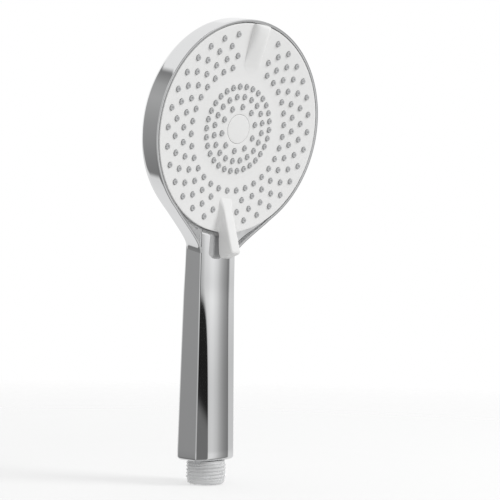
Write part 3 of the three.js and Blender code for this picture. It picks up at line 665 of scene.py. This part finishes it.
def plate_height(sizes, x, y):
    """Front of the plate with the rounded wedge of the thumb ridge at the top."""
    rim = plate_rim()
    along = (y - rim + sizes.ridge_length) / sizes.ridge_length
    rise = np.interp(along, RISE_ALONG, RISE)
    half = sizes.ridge_half * np.sqrt(np.clip(along / 0.16, 0.0001, 1))
    across = np.clip(np.abs(x) / half, 0, 1)
    crown = (1 - across**2.4) ** 0.42
    return dish_height(sizes, np.hypot(x, y)) + sizes.ridge * rise * crown


def plate_rows(sizes, columns=230):
    """Rows from the cap's recess over the front, round the skirt and along the back."""
    rim = plate_rim()
    recess = CAP_R + 0.12 * MM
    soft = 0.4 * MM
    ridge_end = 9            # degrees from the top, with closer columns inside
    near_ridge = np.radians(np.linspace(-ridge_end, ridge_end, 96, endpoint=False))
    elsewhere = np.radians(np.linspace(ridge_end, 360 - ridge_end, columns, endpoint=False))
    turn = math.pi / 2 + np.concatenate([near_ridge, elsewhere])
    ways = np.stack([np.cos(turn), np.sin(turn)], 1)
    rows = []

    def row(radius, height):
        rows.append(np.column_stack([ways * radius, np.broadcast_to(height, len(turn))]))

    row(recess, -sizes.centre - 0.3 * MM)
    row(recess + 0.1 * MM, -sizes.centre - 0.05 * MM)
    for radius in np.concatenate([np.linspace(recess + 0.3 * MM, sizes.flat, 10),
                                  np.linspace(sizes.flat, rim - soft, 46)[1:]]):
        flat = ways * radius
        row(radius, plate_height(sizes, flat[:, 0], flat[:, 1]))
    edge = rows[-1][:, 2]
    for a in (30, 60, 90):
        bend = math.radians(a)
        row(rim - soft + soft * math.sin(bend), edge - soft * (1 - math.cos(bend)))
    row(rim, np.minimum(-5.8 * MM, edge - 0.6 * MM))
    skirt, hub, hole = rim - 2.1 * MM, recess + 1.4 * MM, 5.8 * MM
    for radius, height in (
        (skirt, -5.8), (skirt, -2.6), (hub, -2.6), (hub, -6.9),
        (hole, -6.9), (hole, -5.9), (recess, -5.9),
    ):
        row(radius, height * MM)
    return np.array(rows)


def lever_rows(sizes):
    """Rows across the selector lever, square to its sloping front edge."""
    slope = math.radians(31)
    root = np.array([-37.0 * MM, 0.2 * MM])
    along = np.array([-math.cos(slope), math.sin(slope)])
    out = np.array([math.sin(slope), math.cos(slope)])
    reach = 31.25 * MM
    nose = 1.6 * MM
    nose_turns = np.radians([15, 30, 45, 60, 75, 86])
    stations = np.concatenate([np.linspace(0, reach - nose, 40),
                               reach - nose * (1 - np.sin(nose_turns))])
    under_at = np.array([0, 13.6, 15.8, 17.5, 23, 28.5, 31.5]) * MM
    under = np.array([2.4, 8.6, 8.3, 7.6, 9.1, 10.3, 9.9]) * MM
    rows = []
    for u in stations:
        past = max(0.0, (u - reach + nose) / nose)
        pull = nose * (1 - math.sqrt(max(0.0, 1 - past**2))) * 0.9
        low = -np.interp(u, under_at, under) + pull
        high = -pull * 0.8
        half = sizes.lever_half - pull * 0.75
        soft = min(1.1 * MM, 0.45 * (high - low))
        section = lever_section(half, low, high, soft)
        centre = root + along * u
        yz = centre[None, :] + np.outer(section[:, 1], out)
        lift = yz[:, 1] - plate_height(sizes, 0 * yz[:, 0], yz[:, 0])
        on_plate = smoothstep(-56.5 * MM, -54 * MM, yz[:, 0])
        flare = 1.3 * MM * np.clip(1 - lift / (2.4 * MM), 0, 1) ** 2 * on_plate
        across = section[:, 0]
        x = across + np.sign(across) * flare * smoothstep(0, 3 * MM, np.abs(across))
        rows.append(np.column_stack([x, yz]))
    return np.array(rows)


def lever_section(half, low, high, soft):
    """A rounded upright oblong as [across, up] points, with close points on its straight sides."""
    corner = arc((half - soft, high - soft), soft, 0, 90, 5)
    side = np.column_stack([np.full(12, half), np.linspace(low + soft, high - soft, 13)[:-1]])
    foot = arc((half - soft, low + soft), soft, -90, 0, 4)[:-1]
    right = np.vstack([foot, side, corner])
    return np.vstack([right, right[::-1] * [-1, 1]])


# radius in mm, places, and the share of a place that the ring is turned from the top
RINGS = (
    (11.8, 10, 0), (17.15, 20, 0), (22.5, 30, 0),
    (33.1, 32, 0), (38.91, 32, 0.5), (44.75, 32, 0), (50.1, 32, 0.5),
)
INNER_RINGS = 3          # of them stand on the inner mat
# half width, lowest and highest: no nozzle stands in the ridge or the lever
KEEP_OUT = (
    ("Ridge", 10 * MM, 28 * MM, 60 * MM),
    ("Lever", 6 * MM, -60 * MM, -36 * MM),
)


def ring_sizes(rings, sizes):
    """The tree's named sizes: how far each ring is out and up, and each keep-out's half width."""
    named = {"Proud": sizes.proud}
    for number, (radius, _, _) in enumerate(rings, 1):
        named[f"Radius {number}"] = radius * MM
        named[f"Height {number}"] = float(plate_height(sizes, 0.0, -radius * MM))
    for label, half, _, _ in KEEP_OUT:
        named[f"{label} half width"] = half
    return named


def ring_tree(name, rings, named):
    """A node tree that stands an object at every place of the rings outside the keep-outs."""
    tree = bpy.data.node_groups.new(name, "GeometryNodeTree")
    kinds = {"Piece": "Object", "Material": "Material", **dict.fromkeys(named, "Float")}
    for label, kind in kinds.items():
        tree.interface.new_socket(label, in_out="INPUT", socket_type="NodeSocket" + kind)
    tree.interface.new_socket("Geometry", in_out="OUTPUT", socket_type="NodeSocketGeometry")
    nodes = Nodes(tree)
    entry = tree.nodes.new("NodeGroupInput")
    given = {label: Value(nodes, entry.outputs[label]) for label in kinds}
    join = tree.nodes.new("GeometryNodeJoinGeometry")
    for number, (_, count, shift) in enumerate(rings, 1):
        ring = nodes.add("GeometryNodeMeshCircle", None, {
            "Vertices": count, "Radius": given[f"Radius {number}"],
        })
        height = given[f"Height {number}"] + given["Proud"]
        lift = nodes.add("ShaderNodeCombineXYZ", None, {"Z": height})
        turn = math.pi / 2 + 2 * math.pi * shift / count
        moved = nodes.add("GeometryNodeTransform", None, {
            0: ring, "Translation": lift, "Rotation": (0, 0, turn),
        })
        tree.links.new(moved.socket, join.inputs[0])
    points = Value(nodes, join.outputs[0])
    x, y, _ = nodes.split(nodes.add("GeometryNodeInputPosition"))
    aside = nodes.maths("ABSOLUTE", x)
    for label, _, low, high in KEEP_OUT:
        near = nodes.maths("LESS_THAN", aside, given[f"{label} half width"])
        above = nodes.maths("GREATER_THAN", y, low)
        below = nodes.maths("LESS_THAN", y, high)
        points = nodes.add("GeometryNodeDeleteGeometry", None, {
            0: points, "Selection": near * above * below,
        })
    piece = nodes.add("GeometryNodeObjectInfo", None, {0: given["Piece"]}, "Geometry")
    stood = nodes.add("GeometryNodeInstanceOnPoints", None, {0: points, "Instance": piece})
    real = nodes.add("GeometryNodeRealizeInstances", None, {0: stood})
    finished = nodes.add("GeometryNodeSetMaterial", None, {0: real, "Material": given["Material"]})
    leave = tree.nodes.new("NodeGroupOutput")
    tree.links.new(finished.socket, leave.inputs[0])
    return tree


def on_rings(name, rings, seed, finish_name):
    """A plain mesh object with the seed object at every place of the rings, about the face."""
    sizes = bpy.context.scene.shower_face
    holder = bpy.data.objects.new(name, bpy.data.meshes.new(name))
    bpy.context.scene.collection.objects.link(holder)
    modifier = holder.modifiers.new("rings", "NODES")
    named = ring_sizes(rings, sizes)
    modifier.node_group = ring_tree(name + "_tree", rings, named)
    given = {"Piece": seed, "Material": finish(finish_name), **named}
    for item in modifier.node_group.interface.items_tree:
        if item.in_out == "INPUT":
            modifier[item.identifier] = given[item.name]
    seen = holder.evaluated_get(bpy.context.evaluated_depsgraph_get())
    mesh = bpy.data.meshes.new_from_object(seen)
    holder.modifiers.remove(modifier)
    holder.data = mesh
    mesh.transform(FACE)
    bpy.data.objects.remove(seed)
    return holder


def turned(profile, sides):
    """A turned solid about Z from a profile of radii and heights."""
    turn = np.linspace(0, 2 * math.pi, sides, endpoint=False)
    ways = np.stack([np.cos(turn), np.sin(turn)], 1)
    rows = [np.column_stack([radius * ways, np.full(sides, height)]) for radius, height in profile]
    return shell_of(np.array(rows))


def turned_seed(name, profile, sides):
    """A small turned piece, to be stood on the rings."""
    return make_piece(name, [turned(profile, sides)], "soft_silicone", sharp=50)


class SHOWER_OT_plate(bpy.types.Operator):
    """Spray face: dished plate with its nozzle holes, thumb ridge and selector lever"""
    bl_idname = "shower.plate"
    bl_label = "Spray Face"

    def execute(self, context):
        sizes = context.scene.shower_face
        dish = shell_of(plate_rows(sizes), closed_rows=True)
        plate = make_piece("spray_plate", [dish], "satin_plate", FACE, 32)
        drill = turned_seed("drill", [(sizes.hole, -6 * MM), (sizes.hole, 3 * MM)], 16)
        holes = on_rings("nozzle_holes", RINGS, drill, "satin_plate")
        cut = plate.modifiers.new("holes", "BOOLEAN")
        cut.object = holes
        cut.solver = "EXACT"
        seen = plate.evaluated_get(context.evaluated_depsgraph_get())
        drilled = bpy.data.meshes.new_from_object(seen)
        plate.modifiers.clear()
        bpy.data.objects.remove(holes)
        build = bmesh.new()
        build.from_mesh(drilled)
        lever_points, lever_faces = shell_of(lever_rows(sizes))
        verts = [build.verts.new(FACE @ Vector(p)) for p in lever_points]
        lever = [build.faces.new([verts[i] for i in face]) for face in lever_faces]
        outwards(lever)
        bmesh.ops.dissolve_degenerate(build, dist=1e-7, edges=build.edges)
        tidy_shading(build, 32)
        build.to_mesh(plate.data)
        build.free()
        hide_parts("face_plate")
        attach(plate, "spray_face")
        return {"FINISHED"}


class SHOWER_OT_nozzles(bpy.types.Operator):
    """Silicone nozzles on their two mats"""
    bl_idname = "shower.nozzles"
    bl_label = "Nozzles"

    def execute(self, context):
        tip = context.scene.shower_face.nozzle
        profile = [(tip + 0.12 * MM, -3.4 * MM), (tip + 0.1 * MM, -0.9 * MM), (tip, -0.12 * MM),
                   (tip - 0.16 * MM, 0), (0.62 * MM, -0.06 * MM), (0.4 * MM, -0.45 * MM)]
        for name, node, rings in (("inner_nozzles", "nozzle_mat_inner", RINGS[:INNER_RINGS]),
                                  ("outer_nozzles", "nozzle_mat_outer", RINGS[INNER_RINGS:])):
            seed = turned_seed(name + "_seed", profile, 12)
            piece = on_rings(name, rings, seed, "soft_silicone")
            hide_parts(node)
            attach(piece, "spray_face")
        return {"FINISHED"}


class SHOWER_OT_cap(bpy.types.Operator):
    """Snap-in cap over the centre screw"""
    bl_idname = "shower.cap"
    bl_label = "Centre Cap"

    def execute(self, context):
        ground = -context.scene.shower_face.centre
        soft = 0.2 * MM
        flat = CAP_R - soft
        top = ground + 0.05 * MM
        crown = 0.1 * MM
        bore = CAP_R - 0.9 * MM
        profile = [(t * flat, top + crown * (1 - t * t)) for t in (0.03, 0.3, 0.6, 0.85)]
        profile += [tuple(p) for p in arc((flat, top - soft), soft, 90, 0, 4)]
        profile += [(CAP_R, ground - 2.2 * MM), (bore, ground - 2.2 * MM),
                    (bore, ground - 1.0 * MM), (0.3 * MM, ground - 1.0 * MM)]
        piece = make_piece("cap_disc", [turned(profile, 96)], "satin_plate", FACE)
        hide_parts("centre_cap")
        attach(piece, "spray_face")
        return {"FINISHED"}


# ------------------------------------------------------------------ threaded inlet
def inlet_rows(sizes, columns=120):
    """Rows up the outside of the inlet, with its thread, and back down its bore."""
    turn = np.linspace(0, 2 * math.pi, columns, endpoint=False)
    ways = np.stack([np.cos(turn), np.sin(turn)], 1)
    root = sizes.major - sizes.depth
    rows = []

    def row(radius, height):
        radius = np.broadcast_to(radius, columns)
        rows.append(np.column_stack([ways * radius[:, None], np.full(columns, height)]))

    row(sizes.bore + 0.2 * MM, 0)
    end_round = 1.4 * MM
    for radius, height in arc((root - end_round, end_round), end_round, -90, 0, 8):
        row(radius, height)
    first, last = 1.5 * MM, HANDLE_FOOT - 0.4 * MM
    for height in np.linspace(first, last, 100):
        phase = (height / sizes.pitch - turn / (2 * math.pi)) % 1
        crest = smoothstep(0, 1, 1.9 * (1 - np.abs(2 * phase - 1)) - 0.35)
        run_in = smoothstep(first, first + 1.6 * MM, height)
        run_out = smoothstep(last - 1.4 * MM, last - 0.4 * MM, height)
        row(root + sizes.depth * crest * (run_in * (1 - run_out)), height)
    shoulder = HANDLE_FOOT - 0.3 * MM
    screen, stop, seat, spigot = 12 * MM, 28 * MM, 32 * MM, 38 * MM
    shank, spigot_r, tube_r, port_r = 7.2 * MM, 6.4 * MM, 4.9 * MM, 4.2 * MM
    for radius, height in (
        (root, shoulder), (shank, shoulder), (shank, seat), (spigot_r, seat), (spigot_r, spigot),
        (tube_r, spigot), (tube_r, stop), (port_r, stop), (port_r, screen), (sizes.bore, screen),
        (sizes.bore, 0.25 * MM),
    ):
        row(radius, height)
    return np.array(rows)


class SHOWER_OT_inlet(bpy.types.Operator):
    """Threaded inlet of milky plastic"""
    bl_idname = "shower.inlet"
    bl_label = "Threaded Inlet"

    def execute(self, context):
        inlet = shell_of(inlet_rows(context.scene.shower_inlet), closed_rows=True)
        piece = make_piece("threaded_inlet", [inlet], "milky_inlet")
        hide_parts("inlet_connector")
        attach(piece, "handle")
        return {"FINISHED"}


# ------------------------------------------------------------------ inner parts
SLOT_FINISH = {
    "acetal": "acetal", "chrome": "polished_chrome", "dark": "regulator_plastic",
    "plate": "satin_plate", "rubber": "seal_rubber", "silicone": "soft_silicone",
    "steel": "stainless_steel", "translucent": "milky_inlet",
}


class SHOWER_OT_works(bpy.types.Operator):
    """Finishes of the waterway, diverter, seals, springs and screws"""
    bl_idname = "shower.works"
    bl_label = "Inner Works"

    def execute(self, context):
        for part in frame["record"]["subparts"]:
            node = frame["nodes"][part["node"]]
            node.data.materials.clear()
            node.data.materials.append(finish(SLOT_FINISH[part["material_slot"]]))
        return {"FINISHED"}


# ------------------------------------------------------------------ stage
# grey of what shines back, by bearing in degrees from the front (-Y) towards +X
SOFTBOXES = (
    (-180, 1.0), (-106, 0.60), (-100, 0.72), (-18, 0.72), (-12, 0.30), (-10, 0.02), (14.5, 0.02),
    (16, 0.80), (25, 0.95), (33, 0.98), (40, 0.80), (43, 0.66), (47, 0.52), (52, 0.39), (59, 0.29),
    (64, 0.22), (67, 0.80), (76, 0.85), (90, 0.92), (120, 0.92), (160, 1.0), (180, 1.0),
)
# how much of it is left low down, by height in degrees
LOW_DIM = (
    (-90, 0.5), (-32, 0.78), (-20, 0.82), (-9, 0.82), (-5, 0.70), (-1, 0.70), (1.5, 0.82), (4, 1.0),
    (90, 1.0),
)
# and the least that is left of it
LOW_GLOW = ((-90, 0.17), (-2.6, 0.17), (-2.2, 0.0), (90, 0.0))
# grey of the flag behind on the left, by height, and its share by bearing
BACK_FLAG = (
    (-60, 0.15), (-26, 0.20), (-8, 0.29), (4, 0.33), (21, 0.42), (30, 0.38), (38, 0.23), (90, 0.23),
)
FLAG_REACH = ((-180, 0.0), (-168, 0.0), (-165, 1.0), (-112, 1.0), (-104, 0.0), (180, 0.0))
# share of the bright lid above, by height
LID = ((-90, 0.0), (39, 0.0), (42, 1.0), (90, 1.0))
LID_GREY = 0.88
ROOM_GREY = 0.67         # for matt surfaces, from all sides
FLOOR_R = 1.6            # the floor fades out well inside this


def grey(level):
    return (level, level, level, 1)


def add_light(name, size, power, place, aim):
    """A rectangular lamp that doesn't show in the chrome."""
    light = bpy.data.lights.new(name, "AREA")
    light.shape = "RECTANGLE"
    light.size, light.size_y = size
    light.energy = power
    lamp = bpy.data.objects.new(name, light)
    bpy.context.scene.collection.objects.link(lamp)
    lamp.location = place
    lamp.visible_glossy = False
    lamp.rotation_euler = (Vector(aim) - Vector(place)).to_track_quat("-Z", "Y").to_euler()


def by_angle(nodes, angle, span, table):
    """Grey from a table, by an angle in degrees that runs over a span about 0."""
    stops = [((degrees + span / 2) / span, level) for degrees, level in table]
    return nodes.ramp(angle / span + 0.5, stops)


def studio_world():
    """White for the eye, even for matt surfaces, and softboxes and flags for what shines."""
    world = bpy.data.worlds.new("studio")
    bpy.context.scene.world = world
    world.use_nodes = True
    nodes = Nodes(world.node_tree)
    backdrop = world.node_tree.nodes["Background"]
    way = nodes.add("ShaderNodeTexCoord", output=0)
    east, north, up = nodes.split(way)
    bearing = nodes.maths("ARCTAN2", east, north * -1) * (180 / math.pi)
    height = nodes.maths("ARCSINE", up) * (180 / math.pi)
    ring = by_angle(nodes, bearing, 360, SOFTBOXES)
    dimmed = ring * by_angle(nodes, height, 180, LOW_DIM)
    dimmed = nodes.maths("MAXIMUM", dimmed, by_angle(nodes, height, 180, LOW_GLOW))
    flag = by_angle(nodes, height, 180, BACK_FLAG)
    low = nodes.mix(by_angle(nodes, bearing, 360, FLAG_REACH), dimmed, flag)
    shiny = nodes.mix(by_angle(nodes, height, 180, LID), low, grey(LID_GREY))
    to_camera = nodes.add("ShaderNodeLightPath", output="Is Camera Ray")
    glossy = nodes.add("ShaderNodeLightPath", output="Is Glossy Ray")
    shown = nodes.mix(to_camera, nodes.mix(glossy, grey(ROOM_GREY), shiny), grey(1))
    nodes.feed(backdrop, {"Color": shown, "Strength": 1.0})


def studio_floor(rgb):
    """A pale disc that takes the shadow and fades out."""
    mesh = bpy.data.meshes.new("floor")
    build = bmesh.new()
    bmesh.ops.create_circle(build, cap_ends=True, segments=96, radius=FLOOR_R)
    build.to_mesh(mesh)
    build.free()

    def looks(nodes, shader):
        place = nodes.add("ShaderNodeTexCoord", output=3)
        reach = nodes.add("ShaderNodeVectorMath", {"operation": "LENGTH"}, {0: place}, 1)
        fade = nodes.add("ShaderNodeMapRange", None, {
            "Value": reach, "From Min": 0.2, "From Max": 1.0, "To Min": 0.45, "To Max": 0.0,
        })
        nodes.feed(shader, {
            "Base Color": (*rgb, 1), "Roughness": 0.9, "Specular IOR Level": 0.1, "Alpha": fade,
        })

    mesh.materials.append(new_material("pale_floor", looks))
    floor = bpy.data.objects.new("floor", mesh)
    bpy.context.scene.collection.objects.link(floor)
    floor.location.z = cad_box[0][2] - 0.0005
    floor.visible_glossy = False


def studio_camera():
    """The camera, in front on the left and level with the handle."""
    camera = bpy.data.cameras.new("camera")
    camera.lens = 85.9
    camera.sensor_width = 36
    eye = bpy.data.objects.new("camera", camera)
    bpy.context.scene.collection.objects.link(eye)
    right = Vector((0.7085, -0.7054, 0.0203)).normalized()
    ahead = Vector((0.7036, 0.7083, 0.0564)).normalized()
    up = right.cross(ahead).normalized()
    ahead = (ahead - 0.0004 * right + 0.0004 * up).normalized()
    right = ahead.cross(up).normalized()
    up = right.cross(ahead)
    turn = Matrix((right, up, -ahead)).transposed()
    eye.matrix_world = Matrix.Translation((-0.4364, -0.4696, 0.0880)) @ turn.to_4x4()
    bpy.context.scene.camera = eye


class SHOWER_OT_stage(bpy.types.Operator):
    """Floor, soft light and camera"""
    bl_idname = "shower.stage"
    bl_label = "Stage"

    def execute(self, context):
        studio_world()
        studio_floor(context.scene.shower_colours.floor)
        studio_camera()
        context.scene.view_settings.view_transform = "Standard"
        middle = (0, -0.01, 0.13)
        add_light("key", (0.5, 0.5), 9, (0.6, -0.9, 0.9), middle)
        add_light("top", (1.2, 1.2), 1.5, (-0.1, 0.3, 1.3), middle)
        return {"FINISHED"}


# ------------------------------------------------------------------ panel and registration
class SHOWER_PT_panel(bpy.types.Panel):
    """Sizes, colours and build steps of the shower head"""
    bl_idname = "SHOWER_PT_panel"
    bl_label = "Shower Head"
    bl_space_type = "VIEW_3D"
    bl_region_type = "UI"
    bl_category = "Shower Head"

    def draw(self, context):
        scene = context.scene
        for group in (getattr(scene, name) for name in GROUPS):
            box = self.layout.box()
            for key in group.bl_rna.properties.keys():
                if key not in ("rna_type", "name"):
                    box.prop(group, key)
        for step in STEPS:
            self.layout.operator(step.bl_idname)


GROUPS = {
    "shower_body": ShowerBodySizes, "shower_face": ShowerFaceSizes,
    "shower_inlet": ShowerInletSizes, "shower_colours": ShowerColours,
}
STEPS = (SHOWER_OT_works, SHOWER_OT_body, SHOWER_OT_plate, SHOWER_OT_nozzles, SHOWER_OT_cap,
         SHOWER_OT_inlet, SHOWER_OT_stage)


def register():
    for name, group in GROUPS.items():
        bpy.utils.register_class(group)
        setattr(bpy.types.Scene, name, PointerProperty(type=group))
    for item in (*STEPS, SHOWER_PT_panel):
        bpy.utils.register_class(item)


def unregister():
    for item in (SHOWER_PT_panel, *reversed(STEPS)):
        bpy.utils.unregister_class(item)
    for name, group in GROUPS.items():
        delattr(bpy.types.Scene, name)
        bpy.utils.unregister_class(group)


def main():
    register()
    for step in STEPS:
        area, name = step.bl_idname.split(".")
        getattr(getattr(bpy.ops, area), name)()


if __name__ == "__main__":
    main()
